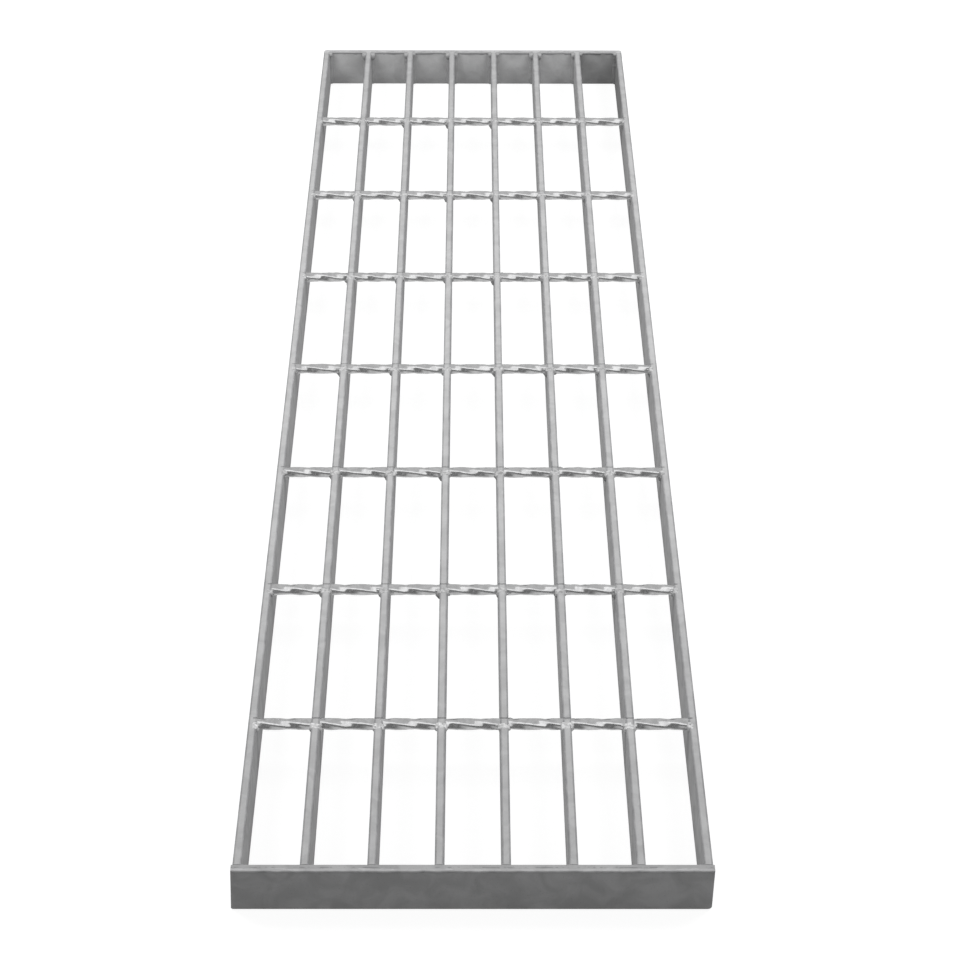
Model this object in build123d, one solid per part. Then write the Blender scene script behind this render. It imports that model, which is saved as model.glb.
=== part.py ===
from build123d import *
import math
import os

# A hot-dip galvanised steel grating panel: flat bearing bars on edge, twisted square cross bars
# forged into their tops, and a flat end band welded across each end.
# Frame: millimetres, X across the bearing bars, Y along them with the front end at -Y, Z up.
# The origin is the middle of the footprint, on the underside.

# Panel and mesh
panel_length = 800.0
bearing_bar_count = 8
bearing_bar_pitch = 30.0
cross_bar_count = 7
cross_bar_pitch = 100.0
first_cross_bar_from_front = 97.5

# Flat stock, on edge: the bearing bars and both end bands
flat_thickness = 4.0
flat_depth = 25.0
flat_edge_break = 0.3

# End bands. The front one was sawn a little long, with its left end out of square.
front_band_overhang = 0.65
front_band_left_slant = 1.2
front_band_lower_left_radius = 0.9
front_band_lower_right_radius = 1.8
back_band_corner_radius = 2.0

# Twisted square cross bars
cross_bar_across_flats = 4.5
cross_bar_corner_break = 0.53
twist_pitch = 60.0
twist_steps_per_bay = 8
# How far one corner of each cross bar leans from upright towards the front where it crosses a
# bearing bar, front row to back row. The rows were laid in with no common start.
corner_lean_at_crossings = [-12.0, 30.0, -6.0, 45.0, 39.0, 36.0, 41.0]

# Weld beads up the inner corners between the bearing bars and the end bands
bead_leg = 2.4
bead_bulge = 0.35
front_bead_below_top = 3.5
back_bead_below_top = 0.25
bead_above_underside = 1.0

# Worked out
half_length = panel_length / 2
bearing_bar_length = panel_length - 2 * flat_thickness
mesh_width = (bearing_bar_count - 1) * bearing_bar_pitch
panel_width = mesh_width + flat_thickness
half_flats = cross_bar_across_flats / 2
short_half_flats = half_flats - cross_bar_corner_break
corner_reach = math.hypot(half_flats, short_half_flats)
cross_bar_axis_z = flat_depth - corner_reach
bearing_bar_x = [index * bearing_bar_pitch - mesh_width / 2 for index in range(bearing_bar_count)]
cross_bar_y = [
    first_cross_bar_from_front - half_length + index * cross_bar_pitch
    for index in range(cross_bar_count)
]


def cross_bar_corners(x, corner_lean):
    """The eight corners of the broken-cornered square section at x, from the axis, turned by the twist."""
    full_turn = 360
    quarter_turn = full_turn / 4
    twist = full_turn * (x + mesh_width / 2) / twist_pitch
    outline = []
    for side in range(4):
        turn = corner_lean + quarter_turn / 2 + twist + side * quarter_turn
        outline.append(Vector(0, half_flats, short_half_flats).rotate(Axis.X, turn))
        outline.append(Vector(0, short_half_flats, half_flats).rotate(Axis.X, turn))
    return [Vector(x, 0, 0) + corner for corner in outline]


def twisted_cross_bar(corner_lean):
    """A cross bar along X on the axis, between the middles of the two outer bearing bars.

    The twist is laid in short even steps, and each step's twisted side is folded along its
    diagonal, so that every face is flat.
    """
    step_count = (bearing_bar_count - 1) * twist_steps_per_bay
    stations = [mesh_width * index / step_count - mesh_width / 2 for index in range(step_count + 1)]
    rings = [cross_bar_corners(x, corner_lean) for x in stations]
    faces = [Face(Wire.make_polygon(rings[0])), Face(Wire.make_polygon(rings[-1]))]
    for near, far in zip(rings, rings[1:]):
        for index in range(len(near)):
            following = (index + 1) % len(near)
            faces.append(Face(Wire.make_polygon([near[index], near[following], far[index]])))
            faces.append(Face(Wire.make_polygon([near[following], far[following], far[index]])))
    return Solid(Shell(faces))


def press_opening():
    """The opening over a cross bar, through which it was pressed down into the bearing bars."""
    return Box(
        mesh_width,
        2 * corner_reach,
        flat_depth,
        align=(Align.CENTER, Align.CENTER, Align.MIN),
    )


def flat_bar(length):
    """A flat bar on edge along Y, standing on Z = 0, with its long edges broken."""
    section = Rectangle(flat_thickness, flat_depth, align=(Align.CENTER, Align.MIN))
    section = chamfer(section.vertices(), flat_edge_break)
    return extrude(Plane.XZ * section, length / 2, both=True)


def bearing_bar(x, cross_bars, openings):
    """A bearing bar with a notch for each cross bar, whose floor follows the twisted bar exactly."""
    return Pos(x, 0, 0) * flat_bar(bearing_bar_length) - openings - cross_bars


def front_end_band():
    """The front end band, longer than the mesh is wide, with two worn lower corners."""
    right = panel_width / 2 + front_band_overhang
    corners = [
        (-right - front_band_left_slant, 0),
        (right, 0),
        (right, flat_depth),
        (-right, flat_depth),
    ]
    outline = make_face(Polyline(*corners, close=True))
    lower_left, lower_right = outline.vertices().group_by(Axis.Y)[0].sort_by(Axis.X)
    outline = fillet(lower_left, front_band_lower_left_radius)
    lower_right = outline.vertices().group_by(Axis.Y)[0].sort_by(Axis.X)[-1]
    outline = fillet(lower_right, front_band_lower_right_radius)
    outer_face = Plane.XZ.offset(half_length)
    band = extrude(outer_face * outline, -flat_thickness)
    sides = band.faces().filter_by(Axis.Y)
    return chamfer(sides.edges(), flat_edge_break)


def back_end_band():
    """The back end band: a flat bar over the bearing bars' ends, its two outer upright edges rounded."""
    plan = Pos(0, half_length) * Rectangle(panel_width, flat_thickness, align=(Align.CENTER, Align.MAX))
    plan = fillet(plan.vertices().group_by(Axis.Y)[-1], back_band_corner_radius)
    band = extrude(plan, flat_depth)
    levels = band.faces().filter_by(Axis.Z)
    return chamfer(levels.edges(), flat_edge_break)


def end_welds(below_top):
    """The beads up the inner corners at the front end, two for each bay."""
    middle = bead_leg / 2 + bead_bulge / math.sqrt(2)
    leg_on_band = Line((0, 0), (bead_leg, 0))
    face = ThreePointArc((bead_leg, 0), (middle, middle), (0, bead_leg))
    leg_on_bar = Line((0, bead_leg), (0, 0))
    section = make_face(leg_on_band + face + leg_on_bar)
    height = flat_depth - below_top - bead_above_underside
    right_bead = Pos(0, 0, bead_above_underside) * extrude(section, height)
    left_bead = mirror(right_bead, Plane.YZ)
    inner_face_y = flat_thickness - half_length
    beads = []
    for left_bar_x, right_bar_x in zip(bearing_bar_x, bearing_bar_x[1:]):
        beads.append(Pos(left_bar_x + flat_thickness / 2, inner_face_y, 0) * right_bead)
        beads.append(Pos(right_bar_x - flat_thickness / 2, inner_face_y, 0) * left_bead)
    return Compound(beads)


def save(name, shape):
    export_step(shape, os.path.join("parts", name + ".step"))


def main():
    os.makedirs("parts", exist_ok=True)
    cross_bars = [
        Pos(0, y, cross_bar_axis_z) * twisted_cross_bar(lean)
        for y, lean in zip(cross_bar_y, corner_lean_at_crossings)
    ]
    openings = [Pos(0, y, cross_bar_axis_z) * press_opening() for y in cross_bar_y]
    for number, cross_bar in enumerate(cross_bars, start=1):
        save(f"cross_bar_{number}", cross_bar)
    for number, x in enumerate(bearing_bar_x, start=1):
        save(f"bearing_bar_{number}", bearing_bar(x, cross_bars, openings))
    save("front_end_band", front_end_band())
    save("back_end_band", back_end_band())
    save("front_end_welds", end_welds(front_bead_below_top))
    save("back_end_welds", mirror(end_welds(back_bead_below_top), Plane.XZ))


main()
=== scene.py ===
import math
import random

import bmesh
import bpy
from mathutils import Matrix, Vector, noise


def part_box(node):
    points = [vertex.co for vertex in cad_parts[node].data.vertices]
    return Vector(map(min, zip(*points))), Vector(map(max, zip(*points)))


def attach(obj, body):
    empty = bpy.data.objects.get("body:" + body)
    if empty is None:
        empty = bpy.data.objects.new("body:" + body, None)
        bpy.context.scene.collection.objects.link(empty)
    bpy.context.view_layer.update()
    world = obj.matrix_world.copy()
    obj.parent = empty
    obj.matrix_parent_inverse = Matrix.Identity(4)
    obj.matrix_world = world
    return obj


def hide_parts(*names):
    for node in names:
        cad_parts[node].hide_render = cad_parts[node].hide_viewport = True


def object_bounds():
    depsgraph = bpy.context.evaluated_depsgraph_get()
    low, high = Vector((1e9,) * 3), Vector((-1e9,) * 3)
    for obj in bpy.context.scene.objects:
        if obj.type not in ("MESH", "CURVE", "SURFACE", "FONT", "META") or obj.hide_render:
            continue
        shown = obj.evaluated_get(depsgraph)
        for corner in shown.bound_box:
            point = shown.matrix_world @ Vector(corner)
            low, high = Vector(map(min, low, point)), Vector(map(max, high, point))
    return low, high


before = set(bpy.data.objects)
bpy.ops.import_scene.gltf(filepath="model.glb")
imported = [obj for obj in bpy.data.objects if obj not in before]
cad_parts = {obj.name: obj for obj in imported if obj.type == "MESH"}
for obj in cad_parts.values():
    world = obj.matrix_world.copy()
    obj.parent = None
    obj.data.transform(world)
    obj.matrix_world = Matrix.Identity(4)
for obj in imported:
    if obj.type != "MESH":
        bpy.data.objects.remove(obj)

bl_info = {
    "name": "Steel grating",
    "version": (1, 0, 0),
    "blender": (4, 5, 0),
    "location": "3D View > Sidebar > Grating",
    "description": "Twisted cross bars, forge welds, end beads and zinc finishes for a steel grating",
    "category": "Object",
}

BEARING_BARS = sorted(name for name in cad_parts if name.startswith("bearing_bar_"))
CROSS_BARS = sorted(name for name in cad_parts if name.startswith("cross_bar_"))


def middle_of(node, axis):
    """The middle of a node's box along one axis, 0 to 2."""
    low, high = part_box(node)
    return (low[axis] + high[axis]) / 2


bar_middles = [middle_of(name, 0) for name in BEARING_BARS]
row_middles = [middle_of(name, 1) for name in CROSS_BARS]
bar_low, bar_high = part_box(BEARING_BARS[0])
bar_thickness = bar_high.x - bar_low.x
bar_pitch = bar_middles[1] - bar_middles[0]
bar_top = bar_high.z
front_inner_face = bar_low.y
back_inner_face = bar_high.y
frame_low, frame_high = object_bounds()

# Zinc that is level with the bar tops stands this far above them, so that it covers them
film = 0.00006


# What a user may change

def length_property(name, description, default):
    return bpy.props.FloatProperty(name=name, description=description, default=default, unit="LENGTH")


def size_property(name, description, *default):
    """Three lengths, along X, Y and Z."""
    return bpy.props.FloatVectorProperty(
        name=name, description=description, size=3, default=default, subtype="XYZ", unit="LENGTH"
    )


def angle_property(name, description, degrees):
    return bpy.props.FloatProperty(
        name=name, description=description, default=math.radians(degrees), unit="ROTATION"
    )


def colour_property(name, description, *default):
    return bpy.props.FloatVectorProperty(
        name=name, description=description, size=3, default=default, subtype="COLOR"
    )


def strength_property(name, description, default):
    """A strength of light, where 1 looks white."""
    return bpy.props.FloatProperty(name=name, description=description, default=default)


class TwistedBarSizes(bpy.types.PropertyGroup):
    across_flats: length_property("Across flats", "Side of the square bar", 0.00492)
    corner_radius: length_property("Corner radius", "Radius of the square bar's corners under their zinc", 0.00155)
    twist_pitch: length_property("Twist pitch", "Length of bar that turns once round", 0.060)
    corner_leans: bpy.props.FloatVectorProperty(
        name="Corner leans",
        description="Lean of a corner from upright towards the front where each row crosses the bearing bars",
        size=7,
        default=[math.radians(lean) for lean in (-12.0, 30.0, -6.0, 45.0, 39.0, 36.0, 41.0)],
        unit="ROTATION",
    )
    unevenness: length_property("Unevenness", "How far the zinc skin wanders from the true bar", 0.00019)
    twist_wander: angle_property("Twist wander", "How far the twist runs ahead or lags between two bearing bars", 22.0)


class ForgeWeldSizes(bpy.types.PropertyGroup):
    closing_reach: length_property(
        "Closing reach",
        "How far along the bearing bar the displaced metal closes up, each way from the cross bar",
        0.0032,
    )
    closing_depth: length_property(
        "Closing depth", "Depth of the displaced metal below the top of the bearing bar", 0.0032
    )
    seam_place: length_property("Seam place", "How far behind the middle of the cross bar the open seam lies", 0.0013)
    seam_width: length_property("Seam width", "Width of the open seam", 0.0005)
    lump_length: length_property(
        "Lump length", "Length along the bearing bar of the bright lump of fused metal", 0.0048
    )
    lump_forward: length_property(
        "Lump forward", "How far the lump's middle lies in front of the cross bar's middle", 0.0040
    )
    lump_side_reach: length_property(
        "Lump side reach", "How far the lump bulges past each side of the bearing bar", 0.0010
    )
    lump_rise: length_property("Lump rise", "How far the lump stands above the bearing bar", 0.00025)
    lumpiness: length_property("Lumpiness", "Height of the unevenness on the fused metal", 0.00045)
    shoulder_size: size_property(
        "Shoulder size", "Size of the bright lump beside a bearing bar, on the cross bar", 0.0034, 0.0034, 0.0028
    )
    web_size: size_property(
        "Web size",
        "Size of the web that runs down the bearing bar's side from under the cross bar",
        0.0048, 0.0026, 0.0040,
    )
    drop_size: size_property(
        "Drop size", "Size of the drop in the other corner under the cross bar", 0.0017, 0.0016, 0.0016
    )


class EndBeadSizes(bpy.types.PropertyGroup):
    leg: length_property("Leg", "Width of a bead on the bar and on the band", 0.0024)
    front_top: length_property("Front bead top", "Height at which the beads at the front end stop", 0.0212)
    back_top: length_property("Back bead top", "Height at which the beads at the back end stop", 0.0247)
    end_lump_size: length_property("End lump size", "Size of the lump in which each bead at the back end stops", 0.0040)
    bottom: length_property("Bead bottom", "Height at which the beads begin", 0.0010)
    ripple_pitch: length_property("Ripple pitch", "Spacing of the ripples up a bead", 0.0019)
    ripple_height: length_property("Ripple height", "Height of the ripples and lumps on a bead", 0.00012)


class ZincRunSizes(bpy.types.PropertyGroup):
    radius: length_property(
        "Radius", "Middle radius of the zinc that ran to a top edge of an end band and set there", 0.0008
    )
    unevenness: length_property("Unevenness", "How far the run swells and thins", 0.00035)
    swell_length: length_property("Swell length", "Length along the edge of one swelling", 0.0060)


class ZincColours(bpy.types.PropertyGroup):
    bearing_bar: colour_property("Bearing bars", "Middle colour of the bearing bars", 0.512, 0.513, 0.516)
    front_band: colour_property("Front end band", "Middle colour of the front end band", 0.445, 0.446, 0.449)
    back_band: colour_property("Back end band", "Middle colour of the back end band", 0.570, 0.571, 0.574)
    # The end beads' colour is darkened partly as painted shade in the inner corners where they lie
    end_bead: colour_property("End beads", "Middle colour of the weld beads at both ends", 0.420, 0.421, 0.424)
    cross_bar: colour_property("Cross bars", "Middle colour of the bright twisted bars", 0.760, 0.762, 0.767)
    # The front row's fused metal is a lighter copy of the weld zinc: painted light
    first_row_weld: colour_property(
        "First row of welds", "Middle colour of the fused metal in the front row", 0.740, 0.741, 0.745
    )
    weld: colour_property("Welds", "Middle colour of the fused metal in the other rows", 0.560, 0.561, 0.564)


class StudioSettings(bpy.types.PropertyGroup):
    lamp_height: length_property("Lamp height", "Height of the two softboxes over the floor", 0.64)
    lamp_distance: length_property(
        "Lamp distance", "Distance of each softbox from the middle of the grating, to the left and the right", 0.50
    )
    lamp_forward: length_property(
        "Lamp forward", "How far the softboxes are in front of the middle of the grating", -0.08
    )
    lamp_width: length_property("Lamp width", "Size of a softbox up and down", 0.40)
    lamp_length: length_property("Lamp length", "Size of a softbox along the bearing bars", 0.50)
    lamp_power: bpy.props.FloatProperty(
        name="Lamp power", description="Power of each softbox", default=3.4, unit="POWER"
    )
    room_light: strength_property("Room light", "Strength of the light that comes from the sides of the room", 0.16)
    window_light: strength_property(
        "Window light", "Strength of the long light high up on the camera's side of the room", 1.04
    )
    window_height: angle_property("Window height", "Angle of the window's middle above the horizon", 54.0)
    mirrored_ceiling: strength_property(
        "Mirrored ceiling", "Strength with which reflections see the ceiling and the wall behind", 0.48
    )
    mirrored_front: strength_property(
        "Mirrored front", "Strength with which reflections see the dark front of the room", 0.128
    )
    mirrored_floor: strength_property(
        "Mirrored floor", "Strength with which reflections see the floor straight below", 0.64
    )
    ceiling_light: strength_property("Ceiling light", "Strength of the light that comes from straight above", 0.36)
    floor_colour: colour_property("Floor colour", "Colour of the floor under the lamps", 0.30, 0.30, 0.30)
    floor_glow: strength_property("Floor glow", "What the camera sees added to the lit floor near the grating", 0.86)
    glow_start: length_property(
        "Glow start", "Distance from the middle of the floor at which it begins to turn plain white", 0.45
    )
    glow_end: length_property("Glow end", "Distance from the middle of the floor beyond which it is plain white", 1.1)


# Making pieces

def add_object(name, data):
    """A new object in the scene."""
    made = bpy.data.objects.new(name, data)
    bpy.context.scene.collection.objects.link(made)
    return made


def as_mesh(name, work):
    """The mesh that a bmesh holds, which is then let go."""
    mesh = bpy.data.meshes.new(name)
    work.to_mesh(mesh)
    work.free()
    return mesh


def finish_piece(name, work, material, replaced):
    """Turn a bmesh into a piece that rides on the grating, stands for the CAD nodes and takes the finish."""
    same_place = 1e-7
    bmesh.ops.remove_doubles(work, verts=work.verts, dist=same_place)
    bmesh.ops.recalc_face_normals(work, faces=work.faces)
    for face in work.faces:
        face.smooth = True
    mesh = as_mesh(name, work)
    mesh.materials.append(material)
    piece = add_object(name, mesh)
    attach(piece, "root")
    if replaced:
        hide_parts(*replaced)


def roughen(verts, height, grain, seed):
    """Move each point along its normal by smooth noise with lumps about one grain across.

    Each seed takes the noise from another place, so that no two pieces are alike.
    """
    seed_steps = (1.37, 0.71, 2.13)
    offset = Vector([seed * step for step in seed_steps])
    for vert in verts:
        vert.co += vert.normal * height * noise.noise(vert.co / grain + offset)


def level_off(verts, height):
    """Flatten what stands above a height."""
    for vert in verts:
        vert.co.z = min(vert.co.z, height)


def lump(work, centre, size, fineness=3):
    """A rounded block of the given size, returned as its points, with its normals up to date."""
    halfway_to_block = 0.5
    verts = bmesh.ops.create_icosphere(work, subdivisions=fineness, radius=0.5)["verts"]
    for vert in verts:
        longest = max(abs(part) for part in vert.co)
        block_shape = vert.co / (2 * longest)
        vert.co = vert.co.lerp(block_shape, halfway_to_block)
    bmesh.ops.scale(work, vec=size, verts=verts)
    bmesh.ops.translate(work, vec=centre, verts=verts)
    work.normal_update()
    return verts


def square_section(work, across_flats, corner_radius):
    """A square ring about the X axis with rounded corners, one corner straight up."""
    corner_segments = 6
    flat_cuts = 3
    made = bmesh.ops.create_circle(work, segments=4, radius=across_flats / math.sqrt(2), cap_ends=False)
    bmesh.ops.bevel(
        work,
        geom=made["verts"],
        offset=corner_radius,
        offset_type="OFFSET",
        affect="VERTICES",
        segments=corner_segments,
        profile=0.5,
        material=-1,
    )
    flats = [edge for edge in work.edges if edge.calc_length() > across_flats / 3]
    bmesh.ops.subdivide_edges(work, edges=flats, cuts=flat_cuts)
    bmesh.ops.rotate(work, cent=(0, 0, 0), matrix=Matrix.Rotation(math.pi / 2, 3, "Y"), verts=work.verts)


def outer_sides(place):
    """The sides, -1 left and 1 right, on which the bearing bar at this place has no neighbour."""
    return [side for side in (-1, 1) if not 0 <= place + side < len(bar_middles)]


def sweep(work, geometry, start, length, steps, angle=0.0):
    """Drag geometry along X from a point, turning it as it goes."""
    bmesh.ops.spin(
        work,
        geom=geometry,
        cent=start,
        axis=(1, 0, 0),
        dvec=(length / steps, 0, 0),
        angle=angle,
        steps=steps,
    )


class GRATING_OT_twisted_cross_bars(bpy.types.Operator):
    """Make the twisted square cross bars"""

    bl_idname = "grating.twisted_cross_bars"
    bl_label = "Twisted cross bars"

    steps_per_bay = 40
    coarse_grain = 0.0034
    fine_grain = 0.0015
    fine_share = 0.35
    fine_seed = 50
    drifts_per_bay = 1.3
    drift_seeds = (5.1, 3.7)

    def execute(self, context):
        sizes = context.scene.twisted_bar_sizes
        reach = math.sqrt(2) * (sizes.across_flats / 2 - sizes.corner_radius) + sizes.corner_radius
        axis_height = bar_top - reach
        length = bar_middles[-1] - bar_middles[0]
        steps = self.steps_per_bay * (len(bar_middles) - 1)
        material = finish_of("cross_bar", context.scene.zinc_colours)
        for number, (node, middle) in enumerate(zip(CROSS_BARS, row_middles), start=1):
            work = bmesh.new()
            square_section(work, sizes.across_flats, sizes.corner_radius)
            lean = Matrix.Rotation(sizes.corner_leans[number - 1], 3, "X")
            bmesh.ops.rotate(work, cent=(0, 0, 0), matrix=lean, verts=work.verts)
            start = (bar_middles[0], middle, axis_height)
            bmesh.ops.translate(work, vec=start, verts=work.verts)
            turn = math.tau * length / sizes.twist_pitch
            sweep(work, work.verts[:] + work.edges[:], start, length, steps, turn)
            bmesh.ops.holes_fill(work, edges=[edge for edge in work.edges if edge.is_boundary])
            self.wander(work.verts, sizes, middle, axis_height, number)
            bmesh.ops.recalc_face_normals(work, faces=work.faces)
            work.normal_update()
            roughen(work.verts, sizes.unevenness, self.coarse_grain, number)
            work.normal_update()
            roughen(work.verts, sizes.unevenness * self.fine_share, self.fine_grain, number + self.fine_seed)
            finish_piece(f"twisted_bar_{number}", work, material, [node])
        return {"FINISHED"}

    def wander(self, verts, sizes, middle, axis_height, seed):
        """Turn the bar a little ahead or back between its seats, where it stays true."""
        along_seed, row_seed = self.drift_seeds
        for vert in verts:
            along = (vert.co.x - bar_middles[0]) / bar_pitch
            place = Vector((along * self.drifts_per_bay + seed * along_seed, seed * row_seed, 0.5))
            turn = sizes.twist_wander * noise.noise(place) * abs(math.sin(math.pi * along))
            across = Vector((0, vert.co.y - middle, vert.co.z - axis_height))
            across.rotate(Matrix.Rotation(turn, 3, "X"))
            vert.co.y = middle + across.y
            vert.co.z = axis_height + across.z


class GRATING_OT_forge_welds(bpy.types.Operator):
    """Make the fused metal where each cross bar is forged into the bearing bars"""

    bl_idname = "grating.forge_welds"
    bl_label = "Forge welds"

    # How far the closed metal stands out over the bar, and the break of its edges
    skin = 0.00002
    closed_edge_break = 0.0003
    lump_height = 0.0030
    lump_grain = 0.0013
    side_grain = 0.0012
    scatter = (-0.0004, 0.0004)
    seeds = (0, 90)

    # Middles of the metal beside a bearing bar: out from its side, towards the back and up from its
    # top. On a bar's left side it lies towards the front instead.
    shoulder_place = (0.0008, 0.0010, -0.0023)
    drop_place = (0.0005, -0.0024, -0.0036)
    web_place = (0.0, 0.0022, -0.0050)

    def execute(self, context):
        sizes = context.scene.forge_weld_sizes
        colours = context.scene.zinc_colours
        for number, row_y in enumerate(row_middles, start=1):
            draw = random.Random(number)
            closing = bmesh.new()
            fused = bmesh.new()
            squeezed = bmesh.new()
            for place, bar_x in enumerate(bar_middles):
                self.closed_metal(closing, sizes, bar_x, row_y)
                self.lump_on_top(fused, sizes, draw, bar_x, row_y, place)
                for side in (-1, 1):
                    if side not in outer_sides(place):
                        self.squeezed_out(squeezed, sizes, draw, bar_x, row_y, side)
                        if number > 1:
                            self.web(closing, sizes, draw, bar_x, row_y, side)
            for name, work, kind, slot_name in (
                ("closed_metal", closing, "bearing_bar", "bearing_bar_zinc"),
                ("forge_welds", fused, "first_row_weld" if number == 1 else "weld", "weld_zinc"),
                ("squeezed_metal", squeezed, "cross_bar", "cross_bar_zinc"),
            ):
                finish_piece(f"{name}_{number}", work, finish_of(kind, colours), [])
        return {"FINISHED"}

    def closed_metal(self, work, sizes, bar_x, row_y):
        """Bearing-bar metal that the press moved, closing the notch flush on both sides of an open seam."""
        seam_front = row_y + sizes.seam_place - sizes.seam_width / 2
        seam_back = row_y + sizes.seam_place + sizes.seam_width / 2
        for front, back in ((row_y - sizes.closing_reach, seam_front), (seam_back, row_y + sizes.closing_reach)):
            verts = bmesh.ops.create_cube(work, size=1.0)["verts"]
            edges = list({edge for vert in verts for edge in vert.link_edges})
            size = (bar_thickness + 2 * self.skin, back - front, sizes.closing_depth)
            bmesh.ops.scale(work, vec=size, verts=verts)
            middle = (bar_x, (front + back) / 2, bar_top + self.skin - sizes.closing_depth / 2)
            bmesh.ops.translate(work, vec=middle, verts=verts)
            bmesh.ops.bevel(
                work,
                geom=edges,
                offset=self.closed_edge_break,
                offset_type="OFFSET",
                affect="EDGES",
                segments=2,
                profile=0.5,
                material=-1,
            )

    def lump_on_top(self, work, sizes, draw, bar_x, row_y, place):
        """The bright lump of fused metal over one crossing, on the inner half only of an outer bar."""
        left = bar_x - bar_thickness / 2 - sizes.lump_side_reach * draw.uniform(0.6, 1.3)
        right = bar_x + bar_thickness / 2 + sizes.lump_side_reach * draw.uniform(0.3, 1.0)
        past_middle = bar_thickness * 0.05
        if -1 in outer_sides(place):
            left = bar_x - past_middle
        if 1 in outer_sides(place):
            right = bar_x + past_middle
        length = sizes.lump_length * draw.uniform(0.88, 1.15)
        centre = (
            (left + right) / 2,
            row_y - sizes.lump_forward + draw.uniform(*self.scatter),
            bar_top + sizes.lump_rise - self.lump_height / 2,
        )
        verts = lump(work, centre, (right - left, length, self.lump_height), fineness=4)
        roughen(verts, sizes.lumpiness, self.lump_grain, draw.uniform(*self.seeds))
        level_off(verts, bar_top + sizes.lump_rise)

    def beside(self, bar_x, y, side, place):
        """A point beside a bearing bar. The twist carried metal forward on its left and back on its right."""
        out, back, up = place
        return Vector((bar_x + side * bar_thickness / 2, y, bar_top)) + Vector((out * side, back * side, up))

    def squeezed_out(self, work, sizes, draw, bar_x, row_y, side):
        """The bright metal squeezed out on one side of a bearing bar: a shoulder, and a drop lower down."""
        for size, place in ((sizes.shoulder_size, self.shoulder_place), (sizes.drop_size, self.drop_place)):
            swelling = draw.uniform(0.6, 1.15)
            centre = self.beside(bar_x, row_y + draw.uniform(*self.scatter), side, place)
            verts = lump(work, centre, [part * swelling for part in size])
            roughen(verts, sizes.lumpiness, self.side_grain, draw.uniform(*self.seeds))

    def web(self, work, sizes, draw, bar_x, row_y, side):
        """The web down a bearing bar's side from under the cross bar, narrower towards its lower end."""
        swelling = draw.uniform(0.7, 1.3)
        size = [part * swelling for part in sizes.web_size]
        centre = self.beside(bar_x, row_y, side, self.web_place)
        verts = lump(work, centre, size)
        low_share = 0.2
        for vert in verts:
            height_share = (vert.co.z - centre.z) / size[2] + 0.5
            share = low_share + (1 - low_share) * height_share
            vert.co.x = centre.x + (vert.co.x - centre.x) * share
            vert.co.y = centre.y + (vert.co.y - centre.y) * share
        work.normal_update()
        roughen(verts, sizes.lumpiness, self.side_grain, draw.uniform(*self.seeds))


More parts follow.
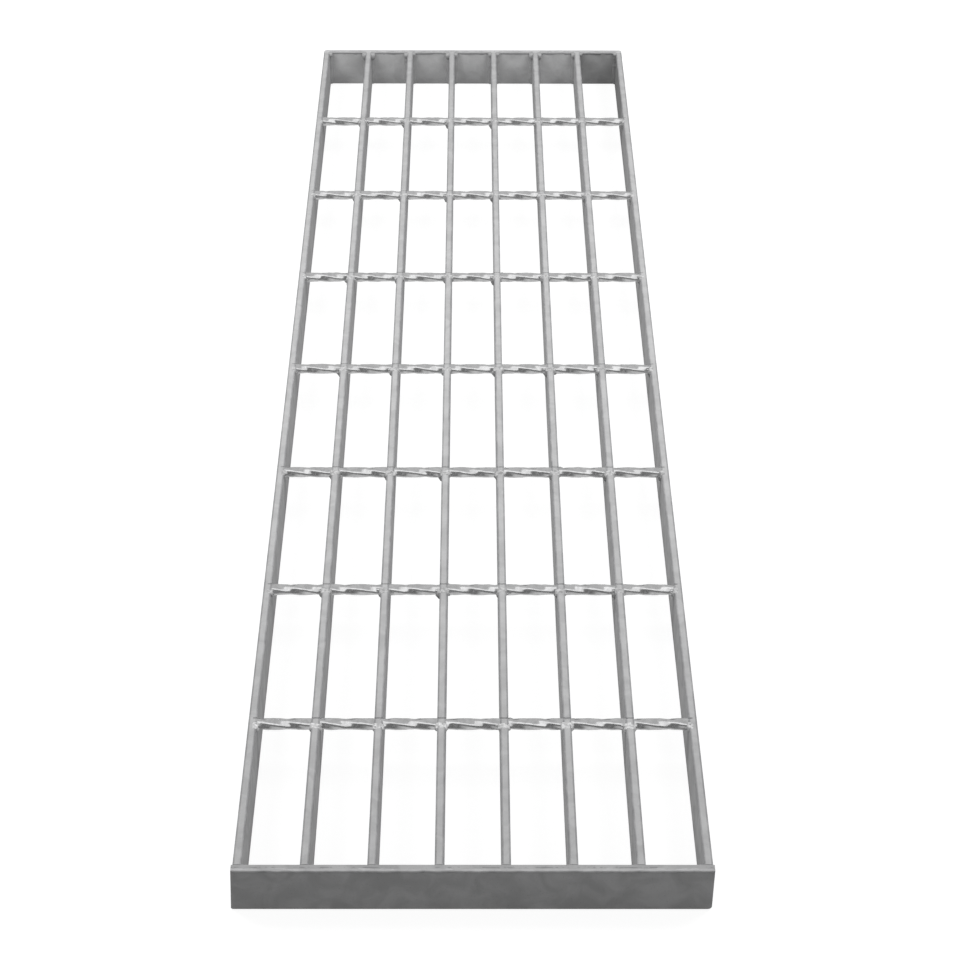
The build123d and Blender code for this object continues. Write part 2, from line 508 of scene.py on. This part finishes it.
class GRATING_OT_end_beads(bpy.types.Operator):
    """Make the weld beads up the inner corners at both ends"""

    bl_idname = "grating.end_beads"
    bl_label = "End weld beads"

    overlap = 0.0002
    column_sides = 28
    ring_height = 0.0004
    bead_grain = 0.0022
    seeds = (0, 90)

    # An end lump's middle, from its corner along the band, along the bar and up from the bar's top,
    # and its sides, both as shares of its size
    end_lump_place = (0.15, 0.25, -0.45)
    end_lump_shape = (1.0, 1.2, 1.0)
    end_lump_grain = 0.0013

    def execute(self, context):
        sizes = context.scene.end_bead_sizes
        material = finish_of("end_bead", context.scene.zinc_colours)
        ends = (
            ("front_end_beads", "front_end_welds", front_inner_face, 1, sizes.front_top),
            ("back_end_beads", "back_end_welds", back_inner_face, -1, sizes.back_top),
        )
        for name, node, face_y, inwards, top in ends:
            draw = random.Random(name)
            work = bmesh.new()
            for left, right in zip(bar_middles, bar_middles[1:]):
                for face_x, away in ((left + bar_thickness / 2, 1), (right - bar_thickness / 2, -1)):
                    self.bead(work, sizes, draw, (face_x, face_y), (away, inwards), top)
                    if name == "back_end_beads":
                        self.end_lump(work, sizes, draw, (face_x, face_y), (away, inwards))
            finish_piece(name, work, material, [node])
        return {"FINISHED"}

    def bead(self, work, sizes, draw, corner, towards, top):
        """One bead, cut from a rippled upright column so that only the open quarter is left."""
        nearly_level = 0.9
        column = bmesh.new()
        bmesh.ops.create_circle(column, segments=self.column_sides, radius=sizes.leg, cap_ends=True)
        bmesh.ops.translate(column, vec=(corner[0], corner[1], sizes.bottom), verts=column.verts)
        rings = round((top - sizes.bottom) / self.ring_height)
        rise = (top - sizes.bottom) / rings
        for ring in range(rings):
            under_cap = sizes.bottom + (ring - 0.5) * rise
            cap = [face for face in column.faces if face.calc_center_median().z > under_cap]
            cap = [face for face in cap if abs(face.normal.z) > nearly_level]
            grown = bmesh.ops.extrude_face_region(column, geom=cap)
            moved = [part for part in grown["geom"] if isinstance(part, bmesh.types.BMVert)]
            bmesh.ops.translate(column, vec=(0, 0, rise), verts=moved)
            bmesh.ops.delete(column, geom=cap, context="FACES_ONLY")
            column.normal_update()
        bmesh.ops.recalc_face_normals(column, faces=column.faces)
        column.normal_update()
        start = draw.uniform(0, 1)
        for vert in column.verts:
            across = Vector((vert.co.x - corner[0], vert.co.y - corner[1], 0))
            ripple = (math.sin(math.tau * (vert.co.z / sizes.ripple_pitch + start)) - 1) / 2
            vert.co += across.normalized() * sizes.ripple_height * ripple
        roughen(column.verts, sizes.ripple_height * 2, self.bead_grain, draw.uniform(*self.seeds))
        for axis in (0, 1):
            plane_point = Vector((corner[0], corner[1], 0))
            plane_point[axis] -= self.overlap * towards[axis]
            outwards = Vector((0, 0, 0))
            outwards[axis] = -towards[axis]
            cut = bmesh.ops.bisect_plane(
                column,
                geom=column.verts[:] + column.edges[:] + column.faces[:],
                plane_co=plane_point,
                plane_no=outwards,
                clear_outer=True,
            )
            rim = [part for part in cut["geom_cut"] if isinstance(part, bmesh.types.BMEdge)]
            bmesh.ops.holes_fill(column, edges=rim)
        level_off(column.verts, bar_top)
        mesh = as_mesh("bead", column)
        work.from_mesh(mesh)
        bpy.data.meshes.remove(mesh)

    def end_lump(self, work, sizes, draw, corner, towards):
        """The lump in which a back bead ends, flush with the top of the bars."""
        size = sizes.end_lump_size * draw.uniform(0.7, 1.2)
        across, along, up = self.end_lump_place
        away = Vector((towards[0] * across, towards[1] * along, up)) * size
        verts = lump(work, Vector((*corner, bar_top)) + away, [part * size for part in self.end_lump_shape])
        roughen(verts, sizes.ripple_height * 2, self.end_lump_grain, draw.uniform(*self.seeds))
        level_off(verts, bar_top + film)


class GRATING_OT_zinc_runs(bpy.types.Operator):
    """Make the uneven runs of zinc along the front band's outer top edge and the back band's inner one"""

    bl_idname = "grating.zinc_runs"
    bl_label = "Zinc runs"

    # How far a run's axis lies inside the band and below its top, as a share of the run's radius
    sunk = 0.7
    ring_spacing = 0.0006
    ring_sides = 16
    back_seed = 10
    seed_step = 3.1
    ripples_per_swell = 4
    ripple_share = 0.4

    def execute(self, context):
        sizes = context.scene.zinc_run_sizes
        colours = context.scene.zinc_colours
        inset = sizes.radius * self.sunk
        front = bmesh.new()
        front_y = frame_low.y + inset
        self.run(front, sizes, -frame_high.x + inset, frame_high.x - inset, front_y, 1)
        back = bmesh.new()
        back_y = back_inner_face + inset
        for place, (left, right) in enumerate(zip(bar_middles, bar_middles[1:])):
            start = left + bar_thickness / 2
            self.run(back, sizes, start, right - bar_thickness / 2, back_y, self.back_seed + place)
        finish_piece("front_zinc_run", front, finish_of("bearing_bar", colours), [])
        # The back runs take the end beads' zinc, whose colour is darkened partly as painted shade
        finish_piece("back_zinc_runs", back, finish_of("end_bead", colours), [])
        return {"FINISHED"}

    def run(self, work, sizes, start, end, y, seed):
        """One rounded run along X just under the top of the bars, its top flush with them."""
        axis_height = bar_top - sizes.radius * self.sunk
        ring = bmesh.ops.create_circle(work, segments=self.ring_sides, radius=sizes.radius, cap_ends=False)["verts"]
        bmesh.ops.rotate(work, cent=(0, 0, 0), matrix=Matrix.Rotation(math.pi / 2, 3, "Y"), verts=ring)
        bmesh.ops.translate(work, vec=(start, y, axis_height), verts=ring)
        edges = list({edge for vert in ring for edge in vert.link_edges})
        steps = round((end - start) / self.ring_spacing)
        sweep(work, ring + edges, (start, y, axis_height), end - start, steps)
        slack = 1e-6
        whole = [vert for vert in work.verts if start - slack < vert.co.x < end + slack]
        rims = [edge for vert in whole for edge in vert.link_edges if edge.is_boundary]
        bmesh.ops.holes_fill(work, edges=list(set(rims)))
        bmesh.ops.recalc_face_normals(work, faces=work.faces)
        work.normal_update()
        offset = Vector((seed * self.seed_step, 0, 0))
        for vert in whole:
            away = Vector((0, vert.co.y - y, vert.co.z - axis_height)).normalized()
            swell = noise.noise(Vector((vert.co.x, 0, 0)) / sizes.swell_length + offset)
            ripple = noise.noise(vert.co / (sizes.swell_length / self.ripples_per_swell) + offset)
            vert.co += away * sizes.unevenness * (swell + self.ripple_share * ripple)
        level_off(whole, bar_top + film)


# Nodes

# Places of the colour sockets on a Mix node, whose names its other sockets share
MIX_SHARE, MIX_UNDER, MIX_TINT, MIX_RESULT = 0, 6, 7, 2

VALUE = "NodeSocketFloat"
COLOUR = "NodeSocketColor"
WHITE = (1, 1, 1, 1)


def feed(node, given):
    """Set each named input of a node to the value given, or link it to the output given."""
    for name, value in given.items():
        if isinstance(value, bpy.types.NodeSocket):
            node.id_data.links.new(value, node.inputs[name])
        else:
            node.inputs[name].default_value = value


def add_node(tree, kind, given=None, **settings):
    """A node with its plain settings and what its inputs are given."""
    made = tree.nodes.new(kind)
    for name, value in settings.items():
        setattr(made, name, value)
    feed(made, given or {})
    return made


def ramp(tree, source, start, end, before=0.0, after=1.0):
    """A smooth change from one value to another while the source goes from start to end."""
    given = {"Value": source, "From Min": start, "From Max": end, "To Min": before, "To Max": after}
    return add_node(tree, "ShaderNodeMapRange", given, interpolation_type="SMOOTHSTEP").outputs["Result"]


def calculate(tree, operation, first, *others):
    """Maths on two outputs or numbers, and then on the result and each further one."""
    for other in others:
        first = add_node(tree, "ShaderNodeMath", {0: first, 1: other}, operation=operation).outputs[0]
    return first


def away_from(tree, source, middle):
    """How far the source is from a middle value, to either side."""
    return calculate(tree, "ABSOLUTE", calculate(tree, "SUBTRACT", source, middle), 0.0)


def clouds(tree, place, scale, detail, roughness=0.5, distortion=0.0):
    """Soft noise from 0 to 1."""
    given = {"Vector": place, "Scale": scale, "Detail": detail, "Roughness": roughness, "Distortion": distortion}
    return add_node(tree, "ShaderNodeTexNoise", given).outputs["Fac"]


def tinted(tree, under, share, tint, blend="MULTIPLY"):
    """The colour under a tint, whose share varies over the surface."""
    given = {MIX_SHARE: share, MIX_UNDER: under, MIX_TINT: tint}
    return add_node(tree, "ShaderNodeMix", given, data_type="RGBA", blend_type=blend).outputs[MIX_RESULT]


# Node groups

def make_group(build, values):
    """A shader node group with the name of the function that fills it.

    The function is given the group's tree and its inputs, a position and the values named, and
    returns what its outputs give.
    """
    group = bpy.data.node_groups.new(build.__name__, "ShaderNodeTree")
    group.interface.new_socket("Position", in_out="INPUT", socket_type="NodeSocketVector")
    for name, value in values.items():
        kind = COLOUR if isinstance(value, tuple) else VALUE
        group.interface.new_socket(name, in_out="INPUT", socket_type=kind).default_value = value
    results = build(group, add_node(group, "NodeGroupInput").outputs)
    for name, output in results.items():
        kind = COLOUR if output.type == "RGBA" else VALUE
        group.interface.new_socket(name, in_out="OUTPUT", socket_type=kind)
    feed(add_node(group, "NodeGroupOutput"), results)
    return group


def use_group(tree, build, place, values):
    """The outputs of a node for a group, which is made when it is first wanted."""
    group = bpy.data.node_groups.get(build.__name__) or make_group(build, values)
    return add_node(tree, "ShaderNodeGroup", {"Position": place, **values}, node_tree=group).outputs


def zinc_mottle(group, given):
    """Soft cloudy patches of zinc: their colour, between the darker and the lighter one, and their share."""
    per_patch = calculate(group, "DIVIDE", 1.0, given["Patch size"])
    patches = ramp(group, clouds(group, given["Position"], per_patch, 4.0, 0.55, 0.6), 0.32, 0.68)
    return {"Colour": tinted(group, given["Dark"], patches, given["Light"], "MIX"), "Patches": patches}


def zinc_grain(group, given):
    """The fine skin of hot-dip zinc: a pebbled height and scattered pinholes."""
    place = given["Position"]
    per_grain = calculate(group, "DIVIDE", 1.0, given["Grain size"])
    cells = {"Vector": place, "Scale": per_grain, "Randomness": 1.0}
    holes = add_node(group, "ShaderNodeTexVoronoi", cells, feature="F1").outputs["Distance"]
    few = ramp(group, holes, 0.0, given["Pinhole share"], 1.0, 0.0)
    return {"Height": clouds(group, place, per_grain, 3.0, 0.6), "Pinholes": few}


def band_edges(group, given):
    """The uneven lines along an end band's top: a painted highlight along the outer edge, a dark line on top, painted
    shade in a line inside, and painted shadow down the outer face under the edge.
    """
    place = given["Position"]
    split = add_node(group, "ShaderNodeSeparateXYZ", {0: place}).outputs
    inset = calculate(group, "SUBTRACT", given["Outer face"], away_from(group, split["Y"], 0.0))
    below = calculate(group, "SUBTRACT", given["Top"], split["Z"])
    slow = clouds(group, place, 110.0, 3.0, 0.65)
    fast = clouds(group, place, 300.0, 2.0)
    top_face = ramp(group, below, 0.00022, 0.00034, 1.0, 0.0)

    # Painted highlight along the outer top edge
    reach = ramp(group, slow, 0.35, 0.68, 0.0004, 0.0017)
    edge = ramp(group, calculate(group, "SUBTRACT", reach, inset), 0.0, 0.0004)
    strength = ramp(group, slow, 0.30, 0.60, 0.35, 1.0)

    line_inset = 0.0021
    line = ramp(group, away_from(group, inset, line_inset), 0.0001, 0.0005, 1.0, 0.0)
    dashes = ramp(group, fast, 0.46, 0.60)
    line_on_top = calculate(group, "MULTIPLY", line, dashes, top_face)

    # Painted shade in a wavy line just under the inner top edge
    shade_depth = ramp(group, slow, 0.35, 0.65, 0.0004, 0.0016)
    run = ramp(group, away_from(group, below, shade_depth), 0.0002, 0.0008, 1.0, 0.0)
    inner_face = ramp(group, inset, 0.0036, 0.0038)
    shade_under_inner_edge = calculate(group, "MULTIPLY", run, inner_face)

    # Painted shadow down the outer face, under the top edge
    under_edge = ramp(group, below, 0.0010, 0.0018, 0.6, 0.0)
    outer_face = ramp(group, inset, 0.0001, 0.0003, 1.0, 0.0)
    shadow = calculate(group, "MULTIPLY", under_edge, outer_face)
    return {
        "Bright edge": calculate(group, "MULTIPLY", edge, top_face, strength),
        "Dark lines": calculate(group, "MAXIMUM", shade_under_inner_edge, shadow, line_on_top),
    }


def bar_rims(group, given):
    """Painted shade: the thin darker lines along both top edges of every bearing bar."""
    split = add_node(group, "ShaderNodeSeparateXYZ", {0: given["Position"]}).outputs
    from_first = calculate(group, "SUBTRACT", split["X"], given["First bar"])
    off_middle = calculate(group, "PINGPONG", from_first, given["Half pitch"])
    inset = calculate(group, "SUBTRACT", given["Half thickness"], off_middle)
    below = calculate(group, "SUBTRACT", given["Top"], split["Z"])
    short_of_end = calculate(group, "SUBTRACT", given["End"], away_from(group, split["Y"], 0.0))
    rim = ramp(group, inset, 0.0006, 0.0010, 1.0, 0.0)
    upper = ramp(group, below, 0.0003, 0.0007, 1.0, 0.0)
    between_ends = ramp(group, short_of_end, 0.0, 0.0005)
    strength = ramp(group, clouds(group, given["Position"], 90.0, 3.0, 0.6), 0.30, 0.60, 0.45, 1.0)
    return {"Rims": calculate(group, "MULTIPLY", rim, upper, between_ends, strength)}


def dull_bay(group, given):
    """The inside of one bay, between two bars, a cross bar and the back band, where a shadow is painted."""
    split = add_node(group, "ShaderNodeSeparateXYZ", {0: given["Position"]}).outputs
    inside = []
    for low, high, start, end in (
        (given["Left"], split["X"], 0.0, 0.0005),
        (split["X"], given["Right"], 0.0, 0.0005),
        (given["Front"], split["Y"], 0.0, 0.03),
        (split["Y"], given["Back"], -0.0004, -0.0001),
        (split["Z"], given["Top"], 0.0002, 0.0010),
    ):
        inside.append(ramp(group, calculate(group, "SUBTRACT", high, low), start, end))
    return {"Inside": calculate(group, "MULTIPLY", *inside)}


# Finishes

PINHOLE_TINT = (0.62, 0.62, 0.63, 1)
# Tint of the painted highlight along an end band's outer top edge
PAINTED_HIGHLIGHT_TINT = (0.62, 0.62, 0.63, 1)
# Tint of a dark line on an end band's top, and of painted shade under the bands' top edges and along the bars' top
# edges
DARK_LINE_AND_SHADE_TINT = (0.66, 0.66, 0.67, 1)
# Tint of the painted shadow in the back right-hand bay
PAINTED_BAY_SHADOW_TINT = (0.66, 0.66, 0.66, 1)


def edge_layer(tree, place, under):
    """An end band's zinc, with a painted highlight along the outer top edge, a dark line on top and painted shade under
    both top edges.
    """
    lines = use_group(tree, band_edges, place, {"Outer face": frame_high.y, "Top": bar_top})
    brighter = tinted(tree, under, lines["Bright edge"], PAINTED_HIGHLIGHT_TINT, "MIX")
    return tinted(tree, brighter, lines["Dark lines"], DARK_LINE_AND_SHADE_TINT)


def rim_layer(tree, place, under):
    """A bearing bar's zinc, with painted shade along its top edges."""
    bars = {"First bar": bar_middles[0], "Half pitch": bar_pitch / 2, "Half thickness": bar_thickness / 2}
    limits = {"Top": bar_top, "End": back_inner_face}
    return tinted(tree, under, use_group(tree, bar_rims, place, bars | limits)["Rims"], DARK_LINE_AND_SHADE_TINT)


def dull_layer(tree, place, under):
    """A painted shadow inside the back right-hand bay."""
    sides = {"Left": bar_middles[-2], "Right": bar_middles[-1]}
    limits = {"Front": row_middles[-1], "Back": back_inner_face, "Top": bar_top}
    return tinted(tree, under, use_group(tree, dull_bay, place, sides | limits)["Inside"], PAINTED_BAY_SHADOW_TINT)


def shade(colour, factor):
    """A colour made lighter or darker, with full alpha."""
    return tuple(min(1.0, part * factor) for part in colour) + (1.0,)


def zinc(
    colour, name, spread, patch_size, grain_size, bump,
    metallic=0.08, specular=0.25, roughness=0.52, pinholes=0.20, layers=(),
):
    """A hot-dip zinc finish: mottled colour and gloss over a finely pebbled skin, with any layers on it."""
    if name in bpy.data.materials:
        return bpy.data.materials[name]
    material = bpy.data.materials.new(name)
    material.use_nodes = True
    tree = material.node_tree
    place = add_node(tree, "ShaderNodeTexCoord").outputs["Object"]
    shades = {"Dark": shade(colour, 1 - spread), "Light": shade(colour, 1 + spread)}
    mottle = use_group(tree, zinc_mottle, place, {"Patch size": patch_size, **shades})
    grain = use_group(tree, zinc_grain, place, {"Grain size": grain_size, "Pinhole share": pinholes})
    surface = tinted(tree, mottle["Colour"], grain["Pinholes"], PINHOLE_TINT)
    for layer in layers:
        surface = layer(tree, place, surface)
    gloss_step = 0.06
    rougher, smoother = roughness + gloss_step, roughness - gloss_step
    glosses = {"Value": mottle["Patches"], "To Min": rougher, "To Max": smoother}
    pebbles = {"Height": grain["Height"], "Strength": 1.0, "Distance": bump}
    feed(tree.nodes["Principled BSDF"], {
        "Base Color": surface,
        "Metallic": metallic,
        "Specular IOR Level": specular,
        "Roughness": add_node(tree, "ShaderNodeMapRange", glosses).outputs["Result"],
        "Normal": add_node(tree, "ShaderNodeBump", pebbles).outputs["Normal"],
    })
    return material


# What sets the zinc on each kind of piece apart. The keys are the names of its colours.
FINISHES = {
    "bearing_bar": dict(
        name="dull_zinc_on_bearing_bars", spread=0.08, patch_size=0.010, grain_size=0.0010, bump=0.00008,
        layers=(rim_layer, dull_layer),
    ),
    "front_band": dict(
        name="dull_zinc_on_front_band", spread=0.10, patch_size=0.013, grain_size=0.0013, bump=0.00006,
        layers=(edge_layer, dull_layer),
    ),
    "back_band": dict(
        name="dull_zinc_on_back_band", spread=0.09, patch_size=0.011, grain_size=0.0013, bump=0.00006,
        layers=(edge_layer, dull_layer),
    ),
    # The end beads' darker colour is partly painted shade in the inner corners
    "end_bead": dict(
        name="dull_zinc_on_end_beads", spread=0.06, patch_size=0.006, grain_size=0.0010, bump=0.00004,
        pinholes=0.02, layers=(dull_layer,),
    ),
    "cross_bar": dict(
        name="bright_zinc_on_cross_bars", spread=0.10, patch_size=0.0030, grain_size=0.0022, bump=0.00004,
        metallic=0.86, specular=0.5, roughness=0.19, pinholes=0.02,
    ),
    "weld": dict(
        name="zinc_on_fused_metal", spread=0.34, patch_size=0.0018, grain_size=0.0009, bump=0.00008,
        metallic=0.20, specular=0.5, roughness=0.38,
    ),
    # A lighter copy of the weld zinc, for the front row only: painted light
    "first_row_weld": dict(
        name="bright_zinc_on_fused_metal", spread=0.30, patch_size=0.0018, grain_size=0.0009, bump=0.00008,
        metallic=0.12, specular=0.5, roughness=0.38,
    ),
}


def finish_of(kind, colours):
    """The zinc on one kind of piece, made when it is first wanted."""
    return zinc(getattr(colours, kind), **FINISHES[kind])


class GRATING_OT_flat_bar_finish(bpy.types.Operator):
    """Give the bearing bars and the end bands their zinc"""

    bl_idname = "grating.flat_bar_finish"
    bl_label = "Zinc on the flat bars"

    def execute(self, context):
        colours = context.scene.zinc_colours
        kinds = {"bearing_bar": BEARING_BARS, "front_band": ["front_end_band"], "back_band": ["back_end_band"]}
        for kind, names in kinds.items():
            for name in names:
                for material_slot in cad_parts[name].material_slots:
                    material_slot.material = finish_of(kind, colours)
        return {"FINISHED"}


# The studio

class GRATING_OT_studio(bpy.types.Operator):
    """Set up the floor, the softboxes, the room and the camera"""

    bl_idname = "grating.studio"
    bl_label = "Studio"

    floor_size = 30.0
    floor_gap = 0.0002
    paper_patch_size = 0.4

    # Where the room's brightness changes: between two heights of a direction, from -1 straight down
    # to 1 straight up, or by how nearly a direction meets the middle of a bright part, 1 if it does
    ceiling_edge = (0.25, 0.90)
    window_edge = (0.80, 0.94)
    mirrored_ceiling_edge = (0.26, 0.64)
    mirrored_window_edge = (0.88, 0.94)
    mirrored_floor_edge = (-0.95, -0.05)

    def execute(self, context):
        settings = context.scene.studio_settings
        self.floor(settings)
        self.softboxes(settings)
        self.room(settings)
        self.camera(context.scene)
        context.scene.view_settings.view_transform = "Standard"
        return {"FINISHED"}

    def floor(self, settings):
        """A pale floor, to which a glow is added for the camera, so that it runs out into plain white."""
        work = bmesh.new()
        bmesh.ops.create_grid(work, x_segments=1, y_segments=1, size=self.floor_size)
        bmesh.ops.translate(work, vec=(0, 0, -self.floor_gap), verts=work.verts)
        mesh = as_mesh("floor", work)
        floor = add_object("floor", mesh)
        floor.visible_glossy = False
        material = bpy.data.materials.new("floor_paper")
        material.use_nodes = True
        material.cycles.emission_sampling = "NONE"
        mesh.materials.append(material)
        tree = material.node_tree
        place = add_node(tree, "ShaderNodeTexCoord").outputs["Object"]
        shades = {"Dark": shade(settings.floor_colour, 0.99), "Light": shade(settings.floor_colour, 1.01)}
        paper = use_group(tree, zinc_mottle, place, {"Patch size": self.paper_patch_size, **shades})
        from_middle = add_node(tree, "ShaderNodeVectorMath", {0: place}, operation="LENGTH").outputs["Value"]
        glow = ramp(tree, from_middle, settings.glow_start, settings.glow_end, settings.floor_glow, 1.0)
        ray = add_node(tree, "ShaderNodeLightPath").outputs
        feed(tree.nodes["Principled BSDF"], {
            "Base Color": paper["Colour"],
            "Roughness": 1.0,
            "Specular IOR Level": 0.0,
            "Emission Color": WHITE,
            "Emission Strength": calculate(tree, "MULTIPLY", glow, ray["Is Camera Ray"]),
        })

    def softboxes(self, settings):
        """A softbox high up on each side of the grating, turned to its middle."""
        for name, x in (("left_softbox", -settings.lamp_distance), ("right_softbox", settings.lamp_distance)):
            lamp = bpy.data.lights.new(name, "AREA")
            lamp.shape = "RECTANGLE"
            lamp.size = settings.lamp_width
            lamp.size_y = settings.lamp_length
            lamp.energy = settings.lamp_power
            holder = add_object(name, lamp)
            holder.location = (x, -settings.lamp_forward, settings.lamp_height)
            holder.rotation_euler = (0, math.atan2(x, settings.lamp_height), 0)
            holder.visible_glossy = False

    def room(self, settings):
        """Light from a dim room with a bright ceiling and a window high up at the front.

        Reflections see another room, which is even from left to right, and the camera sees plain white.
        """
        world = bpy.data.worlds.new("room")
        world.use_nodes = True
        bpy.context.scene.world = world
        tree = world.node_tree
        tree.nodes.clear()
        direction = add_node(tree, "ShaderNodeTexCoord").outputs["Generated"]
        height = add_node(tree, "ShaderNodeSeparateXYZ", {0: direction}).outputs["Z"]
        window_place = Vector((0, -math.cos(settings.window_height), math.sin(settings.window_height)))
        above = ramp(tree, height, *self.ceiling_edge, settings.room_light, settings.ceiling_light)
        window = self.lit_towards(tree, direction, window_place, self.window_edge, 0.0, settings.window_light)
        light = calculate(tree, "MAXIMUM", above, window)

        flat = {0: direction, 1: (0, 1, 1)}
        across = add_node(tree, "ShaderNodeVectorMath", flat, operation="MULTIPLY").outputs[0]
        up_and_back = Vector((0, 0.5, math.sqrt(0.75)))
        dark, bright = settings.mirrored_front, settings.mirrored_ceiling
        mirrored = self.lit_towards(tree, across, up_and_back, self.mirrored_ceiling_edge, dark, bright)
        strip = self.lit_towards(tree, across, window_place, self.mirrored_window_edge, 0.0, settings.window_light)
        below = ramp(tree, height, *self.mirrored_floor_edge, settings.mirrored_floor, 0.0)
        ray = add_node(tree, "ShaderNodeLightPath").outputs
        camera, glossy, transmitted = ray["Is Camera Ray"], ray["Is Glossy Ray"], ray["Is Transmission Ray"]
        seen = calculate(tree, "MAXIMUM", mirrored, strip, below, camera)
        mix = add_node(tree, "ShaderNodeMixShader", {
            0: calculate(tree, "MAXIMUM", camera, glossy, transmitted),
            1: self.background(tree, light),
            2: self.background(tree, seen),
        })
        add_node(tree, "ShaderNodeOutputWorld", {"Surface": mix.outputs["Shader"]})

    def lit_towards(self, tree, source, target, edge, before, after):
        """A smooth change from one value to another as the source's direction turns towards the target."""
        unit = add_node(tree, "ShaderNodeVectorMath", {0: source}, operation="NORMALIZE").outputs[0]
        alike = add_node(tree, "ShaderNodeVectorMath", {0: unit, 1: target}, operation="DOT_PRODUCT")
        return ramp(tree, alike.outputs["Value"], *edge, before, after)

    def background(self, tree, strength):
        """White light of the strength given."""
        given = {"Color": WHITE, "Strength": strength}
        return add_node(tree, "ShaderNodeBackground", given).outputs["Background"]

    def camera(self, scene):
        """The photograph's viewpoint: in front of the grating, looking down on it."""
        data = bpy.data.cameras.new("camera")
        data.sensor_width = 36.0
        data.lens = 86.055
        eye = Vector((-0.00087, -1.10603, 0.77841))
        look_down, swing, roll = 0.6491, -0.0048, -0.00374
        holder = add_object("camera", data)
        holder.matrix_world = (
            Matrix.Translation(eye)
            @ Matrix.Rotation(swing, 4, "Z")
            @ Matrix.Rotation(math.pi / 2 - look_down, 4, "X")
            @ Matrix.Rotation(-roll, 4, "Z")
        )
        scene.camera = holder


class GRATING_PT_panel(bpy.types.Panel):
    """The grating's operators and sizes"""

    bl_label = "Steel grating"
    bl_idname = "GRATING_PT_panel"
    bl_space_type = "VIEW_3D"
    bl_region_type = "UI"
    bl_category = "Grating"

    def draw(self, context):
        for operator in OPERATORS:
            self.layout.operator(operator.bl_idname)
        for name, group in SETTINGS.items():
            box = self.layout.box()
            values = getattr(context.scene, name)
            for field in group.__annotations__:
                box.prop(values, field)


SETTINGS = {
    "twisted_bar_sizes": TwistedBarSizes,
    "forge_weld_sizes": ForgeWeldSizes,
    "end_bead_sizes": EndBeadSizes,
    "zinc_run_sizes": ZincRunSizes,
    "zinc_colours": ZincColours,
    "studio_settings": StudioSettings,
}
OPERATORS = (
    GRATING_OT_flat_bar_finish,
    GRATING_OT_twisted_cross_bars,
    GRATING_OT_forge_welds,
    GRATING_OT_end_beads,
    GRATING_OT_zinc_runs,
    GRATING_OT_studio,
)


def register():
    for name, group in SETTINGS.items():
        bpy.utils.register_class(group)
        setattr(bpy.types.Scene, name, bpy.props.PointerProperty(type=group))
    for operator in OPERATORS:
        bpy.utils.register_class(operator)
    bpy.utils.register_class(GRATING_PT_panel)


def unregister():
    bpy.utils.unregister_class(GRATING_PT_panel)
    for operator in reversed(OPERATORS):
        bpy.utils.unregister_class(operator)
    for name, group in reversed(SETTINGS.items()):
        delattr(bpy.types.Scene, name)
        bpy.utils.unregister_class(group)


def main():
    register()
    bpy.ops.grating.flat_bar_finish()
    bpy.ops.grating.twisted_cross_bars()
    bpy.ops.grating.forge_welds()
    bpy.ops.grating.end_beads()
    bpy.ops.grating.zinc_runs()
    bpy.ops.grating.studio()


if __name__ == "__main__":
    main()
